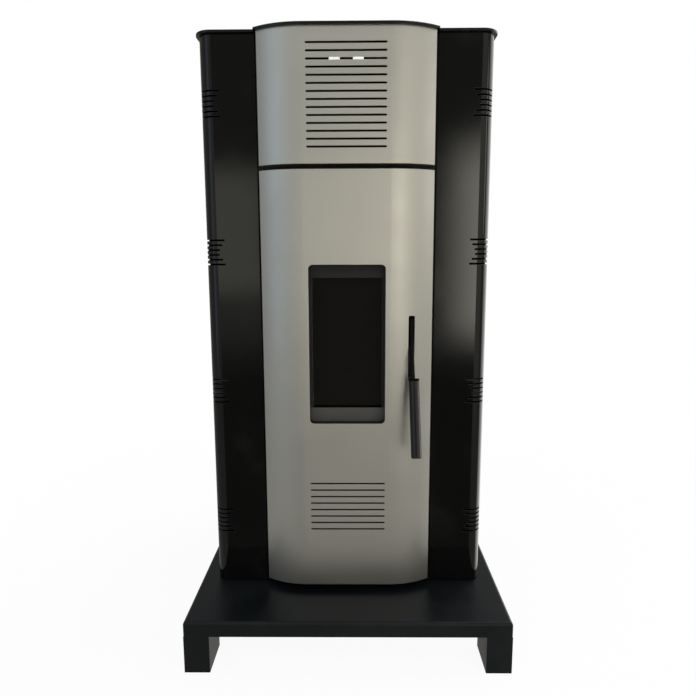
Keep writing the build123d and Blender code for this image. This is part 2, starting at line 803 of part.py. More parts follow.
def hinges():
    """Door knuckles on the casting, and the brackets with pins on the front frame."""
    knuckles = []
    brackets = []
    for z in KNUCKLES_Z:
        top_z = z + KNUCKLE_H
        knuckle = rod_z(z, top_z, HINGE_X, HINGE_Y, HINGE_R)
        knuckle += block(HINGE_X, -CAST_HALF, HINGE_Y - TAB_FRONT, HINGE_Y + TAB_BACK, z, top_z)
        knuckle -= rod_z(z - 1, top_z + 1, HINGE_X, HINGE_Y, HINGE_PIN_R + RUNNING)
        knuckles.append(knuckle)

        lug_z1 = z - GAP
        lug_z0 = lug_z1 - LUG_H
        arm_x = HINGE_X + ARM_OFFSET
        pad_z0 = lug_z0 - LUG_PAD
        pad_z1 = lug_z1 + LUG_PAD
        bracket = rod_z(lug_z0, lug_z1, HINGE_X, HINGE_Y, HINGE_R)
        bracket += block(arm_x, HINGE_X + HINGE_R, HINGE_Y, FRAME_Y, lug_z0, lug_z1)
        bracket += block(arm_x, HINGE_X + PAD_W, FRAME_Y - PAD_T, FRAME_Y, pad_z0, pad_z1)
        bracket += rod_z(lug_z0, top_z + PIN_PROUD, HINGE_X, HINGE_Y, HINGE_PIN_R)
        brackets.append(bracket)
    save("door_hinge_knuckles", *knuckles)
    save("door_hinge_brackets", *brackets)


# ---------------------------------------------------------------- handle and latch


def lever():
    """Bent rod with the latch hook at its pivot, a collar and the grip."""
    lean = radians(GRIP_LEAN)
    skew = radians(GRIP_SKEW)
    top = Vector(GRIP_X, GRIP_TOP_Y, GRIP_TOP_Z)
    down = Vector(sin(skew), -sin(lean) * cos(skew), -cos(lean) * cos(skew))
    points = [
        (LEVER_X, ROD_Y, PIVOT_Z),
        (LEVER_X, ROD_Y, ROD_BENDS_Z[0]),
        (LEVER_X, ROD_OUT_Y, ROD_BENDS_Z[1]),
        (LEVER_X + ROD_SHIFT, GRIP_TOP_Y, ROD_BENDS_Z[2]),
        top + down * (GRIP_LEN - ROD_COVER),
    ]
    path = FilletPolyline(*points, radius=ROD_BEND_R)
    rod = sweep(Plane(origin=path @ 0, z_dir=path % 0) * Circle(ROD_R), path)
    rod += rod_x(LEVER_X - PIVOT_HALF, LEVER_X + PIVOT_HALF, PIVOT_Y, PIVOT_Z, PIVOT_R)
    x0 = LEVER_X - HOOK_HALF
    x1 = LEVER_X + HOOK_HALF
    tip_y = PIVOT_Y + HOOK_ARM
    rod += block(x0, x1, PIVOT_Y, tip_y, PIVOT_Z - HOOK_ARM_HALF, PIVOT_Z + HOOK_ARM_HALF)
    rod += block(x0, x1, tip_y - HOOK_T, tip_y, PIVOT_Z, PIVOT_Z + HOOK_NOSE)
    rod -= rod_x(LEVER_X - 2 * ROD_R, LEVER_X + 2 * ROD_R, PIVOT_Y, PIVOT_Z, PIN_R + RUNNING)
    save("handle_lever", rod)

    grip = Plane(origin=top + down * (GRIP_LEN / 2), z_dir=down) * Cylinder(GRIP_R, GRIP_LEN)
    grip = fillet(grip.edges(), GRIP_ROUND)
    save("handle_grip", largest(grip - rod))

    collar = Plane(origin=top - down * (COLLAR_T / 2), z_dir=down) * Cylinder(COLLAR_R, COLLAR_T)
    save("handle_collar", largest(collar - rod))


def latch():
    """Pivot bracket with its cross pin behind the door sheet, and the fixed catch."""
    x0 = CAST_HALF
    x1 = LEVER_X + PIN_END
    z0 = PIVOT_Z - BRACKET_HALF_H
    z1 = PIVOT_Z + BRACKET_HALF_H
    bracket = block(x0, x0 + BRACKET_T, PIVOT_Y - BRACKET_LIP, CAST_BACK, z0, z1)
    bracket += rod_x(x0 + 1, x1, PIVOT_Y, PIVOT_Z, PIN_R)
    bracket += rod_x(LEVER_X + PIVOT_HALF + GAP, x1, PIVOT_Y, PIVOT_Z, PIN_R + SHOULDER_T)
    save("latch_bracket", bracket)

    x1 = CHEEK_XS[1] + CHEEK_T
    catch = rod_x(CHEEK_XS[0], x1, CATCH_PIN_Y, CATCH_PIN_Z, CATCH_PIN_R)
    y0 = CATCH_PIN_Y - CHEEK_LIP
    z0 = CATCH_PIN_Z - CHEEK_BELOW
    z1 = CATCH_PIN_Z + CHEEK_ABOVE
    catch += [block(x, x + CHEEK_T, y0, FRAME_Y, z0, z1) for x in CHEEK_XS]
    z0, z1 = (CATCH_PIN_Z + rise for rise in CATCH_PLATE_RISE)
    catch += block(CHEEK_XS[0], CATCH_X1, FRAME_Y - CATCH_PLATE_T, FRAME_Y, z0, z1)
    save("door_catch", catch)


# ---------------------------------------------------------------- firebox


def chute_bar(half, length):
    """Square bar along the drop chute, sloping down towards the fire."""
    return Pos(0, CHUTE_Y, CHUTE_Z) * Rot(CHUTE_SLOPE, 0, 0) * Box(2 * half, 2 * half, length)


def chute_hole():
    """Cutter for the drop chute's way through a wall."""
    return chute_bar(CHUTE_HALF + CHUTE_WALL, 2.4 * CHUTE_LEN)


def firebox():
    """Welded box with a front flange, a seat plate for the burner and two support plates."""
    inner = FIRE_INNER
    flange = FIRE_FLANGE
    wall_y = FIRE_BACK - PLATE
    box = block(-FIRE_HALF, FIRE_HALF, FLANGE_FRONT, FIRE_BACK, FIRE_Z0, FIRE_Z1)
    box += block(-flange, flange, FLANGE_FRONT, FLANGE_FRONT + FLANGE_T, CAST_Z0, CAST_Z1)
    box -= block(-inner, inner, FLANGE_FRONT - 1, wall_y, FIRE_Z0 + PLATE, FIRE_Z1 - PLATE)
    seat_z = SEAT_Z - PLATE
    pot = POT_HALF + POT_SLACK
    seat = block(-inner, inner, FLANGE_FRONT + SEAT_SETBACK, wall_y, seat_z, SEAT_Z)
    box += seat - block(-pot, pot, POT_Y0 - POT_SLACK, POT_Y1 + POT_SLACK, seat_z - 1, SEAT_Z + 1)
    for side in (-1, 1):
        x0, x1 = sorted((side * FIRE_HALF, side * inner))
        box += block(x0, x1, LEG_Y0, LEG_Y1, BODY_Z0 + SHEET, FIRE_Z0)
    y0 = wall_y - 1
    y1 = FIRE_BACK + 1
    neck = NECK_HALF_W - FLUE_WALL
    box -= rod_y(y0, y1, AIR_X, AIR_Z, AIR_R - AIR_T)
    box -= block(FLUE_X - neck, FLUE_X + neck, y0, y1, NECK_Z0 + FLUE_WALL, NECK_Z1 - FLUE_WALL)
    box -= rod_y(y0, y1, 0, IGNITER_Z, IGNITER_R + 1)
    box -= chute_hole()
    save("firebox", box)


def linings():
    """Pressed stone linings on the back and sides, and the baffle that rests on them."""
    inner = FIRE_INNER
    wall_y = FIRE_BACK - PLATE
    back = block(-inner + LINER_T, inner - LINER_T, LINER_FACE, wall_y, SEAT_Z, LINER_TOP)
    back -= chute_hole()
    back -= rod_y(LINER_FACE - 1, wall_y + 1, 0, IGNITER_Z, IGNITER_R + 2)
    for x in GROOVE_XS:
        x0 = x - GROOVE_W / 2
        x1 = x + GROOVE_W / 2
        back -= block(x0, x1, LINER_FACE - 1, LINER_FACE + GROOVE_D, GROOVE_Z0, GROOVE_Z1)
    sides = []
    for side in (-1, 1):
        x0, x1 = sorted((side * inner, side * (inner - LINER_T)))
        sides.append(block(x0, x1, LINER_Y0, wall_y, SEAT_Z, LINER_TOP))
    save("firebox_liners", back, *sides)

    half = inner - 1
    save("baffle_plate", block(-half, half, BAFFLE_Y0, wall_y, LINER_TOP, LINER_TOP + BAFFLE_T))


def burner():
    """Lift-out burner pot with air holes, and the igniter behind it."""
    rest = SEAT_Z + SEAL_GAP
    pot_z = SEAT_Z - POT_DEPTH
    half = POT_HALF
    rim = POT_HALF + POT_RIM
    wall = POT_WALL
    pot = block(-half, half, POT_Y0, POT_Y1, pot_z, rest + POT_RISE)
    pot += block(-rim, rim, POT_Y0 - POT_RIM, POT_Y1 + POT_RIM, rest, rest + POT_RIM_T)
    floor_z = pot_z + POT_FLOOR
    pot -= block(
        -half + wall, half - wall, POT_Y0 + wall, POT_Y1 - wall, floor_z, rest + POT_RISE + 1
    )
    pot -= [rod_z(pot_z - 1, floor_z + 1, x, y, POT_HOLE_R) for x, y in POT_HOLES]
    pot -= rod_y(POT_Y1 - wall - 1, POT_Y1 + 1, 0, IGNITER_Z, IGNITER_R + 1)
    save("burner_pot", pot)

    tip_y = POT_Y1 + POT_RIM + IGNITER_CLEAR
    igniter = rod_y(tip_y, FIRE_BACK + IGNITER_TAIL, 0, IGNITER_Z, IGNITER_R)
    igniter += rod_y(FIRE_BACK, FIRE_BACK + IGNITER_FLANGE_T, 0, IGNITER_Z, IGNITER_FLANGE_R)
    save("igniter", igniter)


def ash_drawer():
    """Open tray on the floor of the firebox, with a small pull."""
    half = DRAWER_HALF
    t = DRAWER_T
    tray = block(-half, half, DRAWER_Y0, DRAWER_Y1, DRAWER_Z0, DRAWER_Z1)
    tray -= block(
        -half + t, half - t, DRAWER_Y0 + t, DRAWER_Y1 - t, DRAWER_Z0 + t, DRAWER_Z1 + 1
    )
    z1 = DRAWER_Z1 - PULL_DROP
    tray += block(-PULL_HALF, PULL_HALF, DRAWER_Y0 - PULL_D, DRAWER_Y0, z1 - PULL_T, z1)
    save("ash_drawer", tray)


# ---------------------------------------------------------------- fuel feed


def hopper_solid(inset):
    """The hopper's outer shape, or its inside when moved in by the sheet thickness."""
    half = HOPPER_HALF - inset
    y0 = HOPPER_Y0 + inset
    y1 = HOPPER_Y1 - inset
    upper = block(-half, half, y0, y1, HOPPER_BEND_Z, BODY_Z1)
    mouth = Pos(0, (y0 + y1) / 2, HOPPER_BEND_Z) * Rectangle(2 * half, y1 - y0)
    neck_y = (SPOUT_Y0 + SPOUT_Y1) / 2
    neck_z = AUGER_Z + TUBE_R + SPOUT_RISE
    neck_w = 2 * (SPOUT_HALF - inset)
    neck_d = SPOUT_Y1 - SPOUT_Y0 + 2 * (SHEET - inset)
    neck = Pos(0, neck_y, neck_z) * Rectangle(neck_w, neck_d)
    spout = Pos(0, neck_y, neck_z - SPOUT_H / 2) * Box(neck_w, neck_d, SPOUT_H)
    return upper + loft([neck, mouth]) + spout


def hopper():
    """Sheet hopper that hangs from the top plate and sits astride the auger tube."""
    shell = hopper_solid(0) - hopper_solid(SHEET)
    shell -= rod_y(0, HOPPER_Y1, 0, AUGER_Z, TUBE_R)
    save("hopper", largest(shell))


def auger():
    """Auger in its tube, the gear motor behind it and the drop chute in front."""
    tube = rod_y(FIRE_BACK, TUBE_Y1, 0, AUGER_Z, TUBE_R)
    tube -= rod_y(FIRE_BACK - 1, TUBE_Y1 + 1, 0, AUGER_Z, TUBE_R - TUBE_T)
    half = INLET_HALF
    outlet_y = FIRE_BACK + OUTLET_LEN
    tube -= block(-half, half, SPOUT_Y0, SPOUT_Y1, AUGER_Z, AUGER_Z + TUBE_R + 1)
    tube -= block(-half, half, FIRE_BACK - 1, outlet_y, AUGER_Z - TUBE_R - 1, AUGER_Z)
    save("auger_tube", tube)

    screw_y0 = FIRE_BACK + AUGER_FRONT_GAP
    flight_len = TUBE_Y1 - AUGER_BACK_GAP - screw_y0
    blade = Face.make_rect(2 * AUGER_R, BLADE_T) & Circle(AUGER_R).face()
    flight = Solid.extrude_linear_with_rotation(
        blade, (0, 0, 0), (0, 0, flight_len), 360 * AUGER_TURNS
    )
    flight = Pos(0, screw_y0, AUGER_Z) * Rot(-90, 0, 0) * flight
    shaft_end = TUBE_Y1 + GEARBOX_D - AUGER_BACK_GAP
    save("auger_screw", flight + rod_y(screw_y0, shaft_end, 0, AUGER_Z, AUGER_CORE))

    w = GEARBOX_HALF_W
    h = GEARBOX_HALF_H
    back_y = TUBE_Y1 + GEARBOX_D
    motor = block(-w, w, TUBE_Y1, back_y, AUGER_Z - h, AUGER_Z + h)
    motor = fillet(motor.edges().filter_by(Axis.Y), GEARBOX_ROUND)
    motor -= rod_y(TUBE_Y1 - 1, back_y - SHEET, 0, AUGER_Z, AUGER_CORE + RUNNING)
    motor += rod_y(back_y, back_y + GEAR_MOTOR_LEN, 0, AUGER_Z - GEAR_MOTOR_DROP, GEAR_MOTOR_R)
    save("auger_motor", motor)

    chute = chute_bar(CHUTE_HALF + CHUTE_WALL, CHUTE_LEN) - chute_bar(CHUTE_HALF, CHUTE_LEN + 16)
    chute -= rod_y(FIRE_BACK - TUBE_R, TUBE_Y1, 0, AUGER_Z, TUBE_R)
    chute -= block(-TUBE_R, TUBE_R, 0, FIRE_BACK, AUGER_Z - 20, AUGER_Z + TUBE_R)
    save("drop_chute", largest(chute))


# ---------------------------------------------------------------- exhaust and combustion air


def flue_fan():
    """Exhaust fan: housing with its neck to the firebox, the wheel and the motor."""
    x0 = FLUE_X - FLUE_HALF_W
    x1 = FLUE_X + FLUE_HALF_W
    wall = FLUE_WALL
    housing = block(x0, x1, FLUE_Y0, FLUE_Y1, FLUE_Z - FLUE_HALF_H, FLUE_Z + FLUE_HALF_H)
    housing = fillet(housing.edges().filter_by(Axis.X), FLUE_ROUND)
    neck = NECK_HALF_W
    housing += block(FLUE_X - neck, FLUE_X + neck, FIRE_BACK, FLUE_Y0 + 8, NECK_Z0, NECK_Z1)
    neck -= wall
    housing -= block(
        FLUE_X - neck, FLUE_X + neck, FIRE_BACK - 1, FLUE_Y0 + 10, NECK_Z0 + wall, NECK_Z1 - wall
    )
    housing -= rod_x(x0 + wall, x1 - wall, FLUE_Y, FLUE_Z, FLUE_CAVITY_R)
    housing -= rod_y(FLUE_Y, FLUE_Y1 + 1, FLUE_X, FLUE_Z, FLUE_PORT_R)
    housing -= rod_x(x1 - wall - 1, x1 + 1, FLUE_Y, FLUE_Z, SHAFT_R + SHAFT_CLEAR)
    inset = FLUE_FOOT_INSET
    foot = FLUE_FOOT_HALF
    foot_top = FLUE_Z - FLUE_HALF_H + 2
    housing += block(x0 + inset, x1 - inset, FLUE_Y - foot, FLUE_Y + foot, BODY_Z0 + SHEET, foot_top)
    save("flue_fan_housing", housing)

    disc_t = FLUE_DISC_T
    wheel_x0 = x0 + FLUE_WHEEL_GAP + disc_t
    wheel_x1 = x1 - FLUE_WHEEL_GAP
    vane_x1 = wheel_x1 - disc_t / 2
    wheel = rod_x(wheel_x1 - disc_t, wheel_x1, FLUE_Y, FLUE_Z, FLUE_WHEEL_R)
    vane = block(wheel_x0, vane_x1, -disc_t / 2, disc_t / 2, FLUE_HUB_R - 1, FLUE_WHEEL_R)
    for i in range(FLUE_VANES):
        wheel += Pos(0, FLUE_Y, FLUE_Z) * Rot(360 / FLUE_VANES * i, 0, 0) * vane
    wheel += rod_x(wheel_x0 + disc_t, vane_x1, FLUE_Y, FLUE_Z, FLUE_HUB_R)
    shaft_end = x1 + FLUE_SHAFT_REACH
    wheel += rod_x(wheel_x1 - 2 * disc_t, shaft_end, FLUE_Y, FLUE_Z, SHAFT_R)
    save("flue_fan_wheel", wheel)

    motor = rod_x(x1, x1 + FLUE_MOTOR_LEN, FLUE_Y, FLUE_Z, FLUE_MOTOR_R)
    motor = fillet(motor.edges().group_by(Axis.X)[-1], FLUE_MOTOR_ROUND)
    motor -= rod_x(x1 - 1, shaft_end + 2, FLUE_Y, FLUE_Z, SHAFT_R + RUNNING)
    save("flue_fan_motor", motor)


def pipes():
    """Flue spigot behind the exhaust fan and the combustion-air pipe into the firebox."""
    y0 = FLUE_Y1
    end = SPIGOT_END
    spigot = rod_y(y0, end, FLUE_X, FLUE_Z, SPIGOT_R)
    spigot -= rod_y(y0 + FLUE_WALL, end + 1, FLUE_X, FLUE_Z, SPIGOT_R - SPIGOT_T)
    spigot -= rod_y(y0 - 1, end, FLUE_X, FLUE_Z, FLUE_PORT_R)
    save("flue_spigot", spigot)

    pipe = rod_y(FIRE_BACK, end, AIR_X, AIR_Z, AIR_R)
    save("air_inlet_pipe", pipe - rod_y(FIRE_BACK - 1, end + 1, AIR_X, AIR_Z, AIR_R - AIR_T))


# ---------------------------------------------------------------- room-air blower


def blower():
    """Room-air blower: sheet housing on two legs, the cross-flow wheel and its motor."""
    half = BLOWER_HALF_L
    y0 = BLOWER_Y - BLOWER_HALF_D
    y1 = BLOWER_Y + BLOWER_HALF_D
    z0 = BLOWER_Z - BLOWER_HALF_H
    z1 = BLOWER_Z + BLOWER_HALF_H
    t = SHEET
    lip = BLOWER_LIP
    housing = block(-half, half, y0, y1, z0, z1)
    housing -= block(-half + t, half - t, y0 + t, y1 - t, z0 + t, z1 - t)
    housing -= block(-half + lip, half - lip, y0 + lip, y0 + lip + BLOWER_MOUTH, z1 - 3, z1 + 1)
    edge = BLOWER_SLOT_EDGE
    housing -= block(-half + lip, half - lip, y1 - 3, y1 + 1, z0 + edge, z1 - edge)
    for side in (-1, 1):
        x0, x1 = sorted((side * half, side * (half - t)))
        housing += block(x0, x1, y0, y1, BODY_Z0 + SHEET, z0)
        housing -= rod_x(x0 - 1, x1 + 1, BLOWER_Y, BLOWER_Z, SHAFT_R + SHAFT_CLEAR)
    save("blower_housing", housing)

    end = WHEEL_HALF
    wheel = rod_x(-end, -end + WHEEL_END_T, BLOWER_Y, BLOWER_Z, WHEEL_R)
    wheel += rod_x(end - WHEEL_END_T, end, BLOWER_Y, BLOWER_Z, WHEEL_R)
    rim = WHEEL_R - 1
    vane = block(-end + 1, end - 1, -VANE_T / 2, VANE_T / 2, rim - VANE_D, rim)
    for i in range(WHEEL_VANES):
        wheel += Pos(0, BLOWER_Y, BLOWER_Z) * Rot(360 / WHEEL_VANES * i, 0, 0) * vane
    shaft_end = half + BLOWER_SHAFT_REACH
    wheel += rod_x(-half - BLOWER_SHAFT_FRONT, shaft_end, BLOWER_Y, BLOWER_Z, SHAFT_R)
    save("blower_wheel", wheel)

    motor = rod_x(half + t, half + BLOWER_MOTOR_LEN, BLOWER_Y, BLOWER_Z, BLOWER_MOTOR_R)
    motor = fillet(motor.edges().group_by(Axis.X)[-1], BLOWER_MOTOR_ROUND)
    plate = BLOWER_PLATE
    y0, y1 = BLOWER_Y - plate, BLOWER_Y + plate
    motor += block(half, half + BLOWER_PLATE_T, y0, y1, BLOWER_Z - plate, BLOWER_Z + plate)
    motor -= rod_x(half - 1, shaft_end + 2, BLOWER_Y, BLOWER_Z, SHAFT_R + RUNNING)
    save("blower_motor", motor)


# ---------------------------------------------------------------- lid and controls


def lid():
    """Hopper lid with a turned-up pull and rolled knuckles, and its fixed hinge halves."""
    y = LID_AXIS_Y
    z = LID_AXIS_Z
    pull = LID_PULL_HALF
    plate = block(-LID_HALF, LID_HALF, LID_Y0, y - LID_BACK_GAP, LID_Z0, LID_Z0 + LID_T)
    plate = fillet(plate.edges().filter_by(Axis.Z).group_by(Axis.Y)[0], LID_ROUND)
    plate += block(-pull, pull, LID_Y0, LID_Y0 + LID_T, LID_Z0, LID_Z0 + LID_PULL_H)
    fixed = []
    for x in LID_HINGES:
        plate += rod_x(x - BARREL_HALF, x + BARREL_HALF, y, z, BARREL_R)
        plate -= rod_x(x - BARREL_HALF - 1, x + BARREL_HALF + 1, y, z, LID_PIN_R + RUNNING)
        half = rod_x(x - HINGE_END, x + HINGE_END, y, z, LID_PIN_R)
        leaf_back = y + LEAF_D
        leaf_z = TOP_Z + LEAF_T
        half += block(x - HINGE_END, x + HINGE_END, y + LEAF_INSET, leaf_back, TOP_Z, leaf_z)
        for side in (-1, 1):
            x0, x1 = sorted((x + side * (BARREL_HALF + GAP), x + side * HINGE_END))
            half += rod_x(x0, x1, y, z, BARREL_R)
            half += block(x0, x1, y, leaf_back, TOP_Z, leaf_z)
            x0, x1 = sorted((x + side * BARREL_HALF, x + side * (HINGE_END + 1)))
            plate -= block(x0, x1, y - HINGE_NOTCH_D, y, TOP_Z, TOP_Z + HINGE_NOTCH_H)
        fixed.append(half)
    save("hopper_lid", plate)
    save("lid_hinges", *fixed)

    seal = block(-SEAL_HALF, SEAL_HALF, SEAL_Y0, SEAL_Y1, TOP_Z, TOP_Z + SEAL_T)
    mouth = block(-MOUTH_HALF, MOUTH_HALF, MOUTH_Y0, MOUTH_Y1, TOP_Z - 1, TOP_Z + SEAL_T + 1)
    save("lid_seal", seal - mouth)


def controls():
    """Control panel in the top plate: bezel, display window and four buttons."""
    plate_z = TOP_Z + PANEL_T
    half = PANEL_HALF - PANEL_LIP
    y0 = PANEL_Y0 + PANEL_LIP
    y1 = PANEL_Y1 - PANEL_LIP
    wall = TRAY_WALL
    tray_z = TOP_Z - TRAY_DEPTH
    bezel = block(-PANEL_HALF, PANEL_HALF, PANEL_Y0, PANEL_Y1, TOP_Z, plate_z)
    bezel = fillet(bezel.edges().filter_by(Axis.Z), PANEL_ROUND)
    bezel += block(-half, half, y0, y1, tray_z, TOP_Z)
    bezel -= block(-half + wall, half - wall, y0 + wall, y1 - wall, tray_z + wall, TOP_Z - 1)
    glass_y0 = BUTTON_Y - DISPLAY_HALF
    glass_y1 = BUTTON_Y + DISPLAY_HALF
    bezel -= block(*DISPLAY_X, glass_y0, glass_y1, TOP_Z - POCKET_D, plate_z + 1)
    for x in BUTTONS.values():
        bezel -= rod_z(TOP_Z - POCKET_D, plate_z + 1, x, BUTTON_Y, BUTTON_R + BUTTON_CLEAR)
    save("control_bezel", bezel)
    z0 = TOP_Z - DISPLAY_BED
    z1 = plate_z - DISPLAY_SINK
    save("display_window", block(*DISPLAY_X, glass_y0, glass_y1, z0, z1))

    for name, x in BUTTONS.items():
        z0 = TOP_Z - BUTTON_DEPTH
        button = rod_z(z0, plate_z + BUTTON_PROUD, x, BUTTON_Y, BUTTON_R)
        button = fillet(button.edges().group_by(Axis.Z)[-1], BUTTON_ROUND)
        button += rod_z(z0, TOP_Z - BUTTON_RIM_DROP, x, BUTTON_Y, BUTTON_R + BUTTON_RIM)
        save(f"button_{name}", button)


def control_box():
    """Box for the control board, on the inside of the left panel."""
    box = block(-BODY_HALF + SHEET, BOX_X1, *BOX_Y, *BOX_Z)
    box = fillet(box.edges().group_by(Axis.X)[-1], BOX_ROUND)
    x0, x1 = BOX_X1 - BOX_RIB_D, BOX_X1 + 1
    y0, y1 = BOX_Y[0] + BOX_RIB_INSET, BOX_Y[1] - BOX_RIB_INSET
    half = BOX_RIB_HALF
    box -= [block(x0, x1, y0, y1, z - half, z + half) for z in BOX_RIBS]
    save("control_box", box)


def mains():
    """Mains inlet plate with its three blades, and the rocker switch beside them."""
    y0 = BODY_BACK
    y1 = BODY_BACK + SHEET
    x0, x1 = INLET_CUT_X
    z0, z1 = INLET_CUT_Z
    slack = INLET_SLACK
    face_y = y1 + INLET_PLATE_T
    plate = block(x0 + slack, x1 - slack, y0 - INLET_DEPTH, y1, z0 + slack, z1 - slack)
    plate += block(*INLET_PLATE_X, y1, face_y, *INLET_PLATE_Z)
    socket_y = face_y - SOCKET_DEPTH
    w = SOCKET_HALF_W
    h = SOCKET_HALF_H
    plate -= block(INLET_X - w, INLET_X + w, socket_y, face_y + 1, INLET_Z - h, INLET_Z + h)
    w = CONTACT_HALF_W
    h = CONTACT_HALF_H
    for blade_x in BLADE_XS:
        x = INLET_X + blade_x
        plate += block(x - w, x + w, socket_y - 1, y0 - CONTACT_END, INLET_Z - h, INLET_Z + h)
    w = ROCKER_HALF + ROCKER_SIDE_GAP
    h = ROCKER_R + ROCKER_END_GAP
    pocket_y = y0 - ROCKER_POCKET_D
    plate -= block(ROCKER_X - w, ROCKER_X + w, pocket_y, face_y + 1, INLET_Z - h, INLET_Z + h)
    axle_half = ROCKER_HALF + 2
    plate -= rod_x(ROCKER_X - axle_half, ROCKER_X + axle_half, y0, INLET_Z, ROCKER_AXLE_R + RUNNING)
    save("mains_inlet", plate)

    x0 = ROCKER_X - ROCKER_HALF
    x1 = ROCKER_X + ROCKER_HALF
    rocker = rod_x(x0, x1, 0, 0, ROCKER_R)
    rocker &= block(x0, x1, *ROCKER_Y, -ROCKER_R, ROCKER_R)
    rocker -= rod_x(x0 - 1, x1 + 1, ROCKER_DISH_Y, 0, ROCKER_DISH_R)
    rocker += rod_x(x0 - ROCKER_AXLE_PROUD, x1 + ROCKER_AXLE_PROUD, 0, 0, ROCKER_AXLE_R)
    save("rocker_switch", Pos(0, y0, INLET_Z) * Rot(ROCKER_TILT, 0, 0) * rocker)


os.makedirs("parts", exist_ok=True)
stand()
base()
side_panels()
rear()
top()
front_frame()
fascia()
duct()
door_sheet()
fire_door()
glazing()
hinges()
lever()
latch()
firebox()
linings()
burner()
ash_drawer()
hopper()
auger()
flue_fan()
pipes()
blower()
lid()
controls()
control_box()
mains()
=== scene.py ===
"""Wood-pellet stove on a bench stand: materials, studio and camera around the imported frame.

Metres. X to the right, Y to the back, Z up; the origin is on the floor under the middle
of the stand.
"""
import json
from math import cos, degrees, pi, radians, sin

import bmesh
import bpy
from mathutils import Matrix, Vector

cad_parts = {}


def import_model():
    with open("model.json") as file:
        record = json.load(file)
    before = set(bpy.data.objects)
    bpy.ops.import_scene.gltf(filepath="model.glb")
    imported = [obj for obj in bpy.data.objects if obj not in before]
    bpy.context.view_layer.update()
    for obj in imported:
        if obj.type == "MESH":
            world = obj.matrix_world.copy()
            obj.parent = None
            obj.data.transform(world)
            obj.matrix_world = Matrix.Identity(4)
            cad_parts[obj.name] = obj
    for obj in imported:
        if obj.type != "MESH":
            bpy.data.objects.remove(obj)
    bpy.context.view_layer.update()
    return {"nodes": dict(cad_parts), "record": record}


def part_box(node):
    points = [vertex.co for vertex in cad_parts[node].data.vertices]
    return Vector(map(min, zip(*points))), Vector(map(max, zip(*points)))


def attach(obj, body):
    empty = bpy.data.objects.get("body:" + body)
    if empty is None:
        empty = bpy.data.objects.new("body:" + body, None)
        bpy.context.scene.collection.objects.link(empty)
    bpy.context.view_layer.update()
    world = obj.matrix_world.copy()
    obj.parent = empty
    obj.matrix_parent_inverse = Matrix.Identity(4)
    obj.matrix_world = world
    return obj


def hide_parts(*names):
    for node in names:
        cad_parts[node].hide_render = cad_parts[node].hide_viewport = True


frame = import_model()
NODES = frame["nodes"]

# ---- camera, found from the stove's own edges ----
CAMERA_AT = (0.0121, -1.3524, 0.7591)
CAMERA_YAW = -0.55
CAMERA_PITCH = -8.82
CAMERA_ROLL = -0.2
SENSOR = 36.0
LENS = 31.2
CLIP_START = 0.01

X_AXIS = Vector((1, 0, 0))
Y_AXIS = Vector((0, 1, 0))
Z_AXIS = Vector((0, 0, 1))
EDGE_SAMPLES = 4
COAT_GRAIN = 0.00006


# ------------------------------------------------------------------ node helpers


class Tree:
    """A few short ways to make and join shader nodes."""

    def __init__(self, owner):
        self.tree = owner.node_tree
        self.tree.nodes.clear()

    def add(self, kind, **settings):
        """A node, with its properties set."""
        node = self.tree.nodes.new(kind)
        for name, value in settings.items():
            setattr(node, name, value)
        return node

    def put(self, socket, value):
        """Sets a socket to a number or colour, or joins another socket to it."""
        if isinstance(value, bpy.types.NodeSocket):
            self.tree.links.new(value, socket)
        else:
            socket.default_value = value

    def math(self, operation, a, b=0.0):
        """The result of one math node."""
        node = self.add("ShaderNodeMath", operation=operation)
        self.put(node.inputs[0], a)
        self.put(node.inputs[1], b)
        return node.outputs[0]

    def smooth(self, value, low, high, to_low=0.0, to_high=1.0):
        """A smooth step of value from low to high."""
        node = self.add("ShaderNodeMapRange", interpolation_type="SMOOTHSTEP")
        self.put(node.inputs["Value"], value)
        self.put(node.inputs["From Min"], low)
        self.put(node.inputs["From Max"], high)
        self.put(node.inputs["To Min"], to_low)
        self.put(node.inputs["To Max"], to_high)
        return node.outputs["Result"]

    def mix(self, factor, a, b):
        """One colour turning into another."""
        node = self.add("ShaderNodeMix", data_type="RGBA")
        self.put(node.inputs[0], factor)
        self.put(node.inputs[6], a)
        self.put(node.inputs[7], b)
        return node.outputs[2]

    def place(self, stretch=(1, 1, 1)):
        """The point on the object in metres, stretched along each axis."""
        point = self.add("ShaderNodeTexCoord").outputs["Object"]
        mapping = self.add("ShaderNodeMapping")
        self.put(mapping.inputs["Vector"], point)
        mapping.inputs["Scale"].default_value = stretch
        return mapping.outputs["Vector"]

    def noise(self, scale, stretch=(1, 1, 1), detail=3.0, rough=0.5):
        """Noise from 0 to 1, at a scale in features per metre."""
        node = self.add("ShaderNodeTexNoise")
        self.put(node.inputs["Vector"], self.place(stretch))
        node.inputs["Scale"].default_value = scale
        node.inputs["Detail"].default_value = detail
        node.inputs["Roughness"].default_value = rough
        return node.outputs["Fac"]

    def bump(self, height, depth, strength, normal=None):
        """A bumped normal from a height, with its depth in metres."""
        node = self.add("ShaderNodeBump")
        self.put(node.inputs["Height"], height)
        node.inputs["Distance"].default_value = depth
        node.inputs["Strength"].default_value = strength
        if normal is not None:
            self.put(node.inputs["Normal"], normal)
        return node.outputs["Normal"]

    def soft_edges(self, radius):
        """A normal that rounds the model's sharp edges to a small radius."""
        node = self.add("ShaderNodeBevel", samples=EDGE_SAMPLES)
        node.inputs["Radius"].default_value = radius
        return node.outputs["Normal"]

    def surface(self, **sockets):
        """A Principled surface joined to the output; sockets by name, with _ for spaces."""
        shader = self.add("ShaderNodeBsdfPrincipled")
        for name, value in sockets.items():
            self.put(shader.inputs[name.replace("_", " ")], value)
        output = self.add("ShaderNodeOutputMaterial")
        self.put(output.inputs["Surface"], shader.outputs[0])


def grey(value):
    """An opaque grey."""
    return (value, value, value, 1.0)


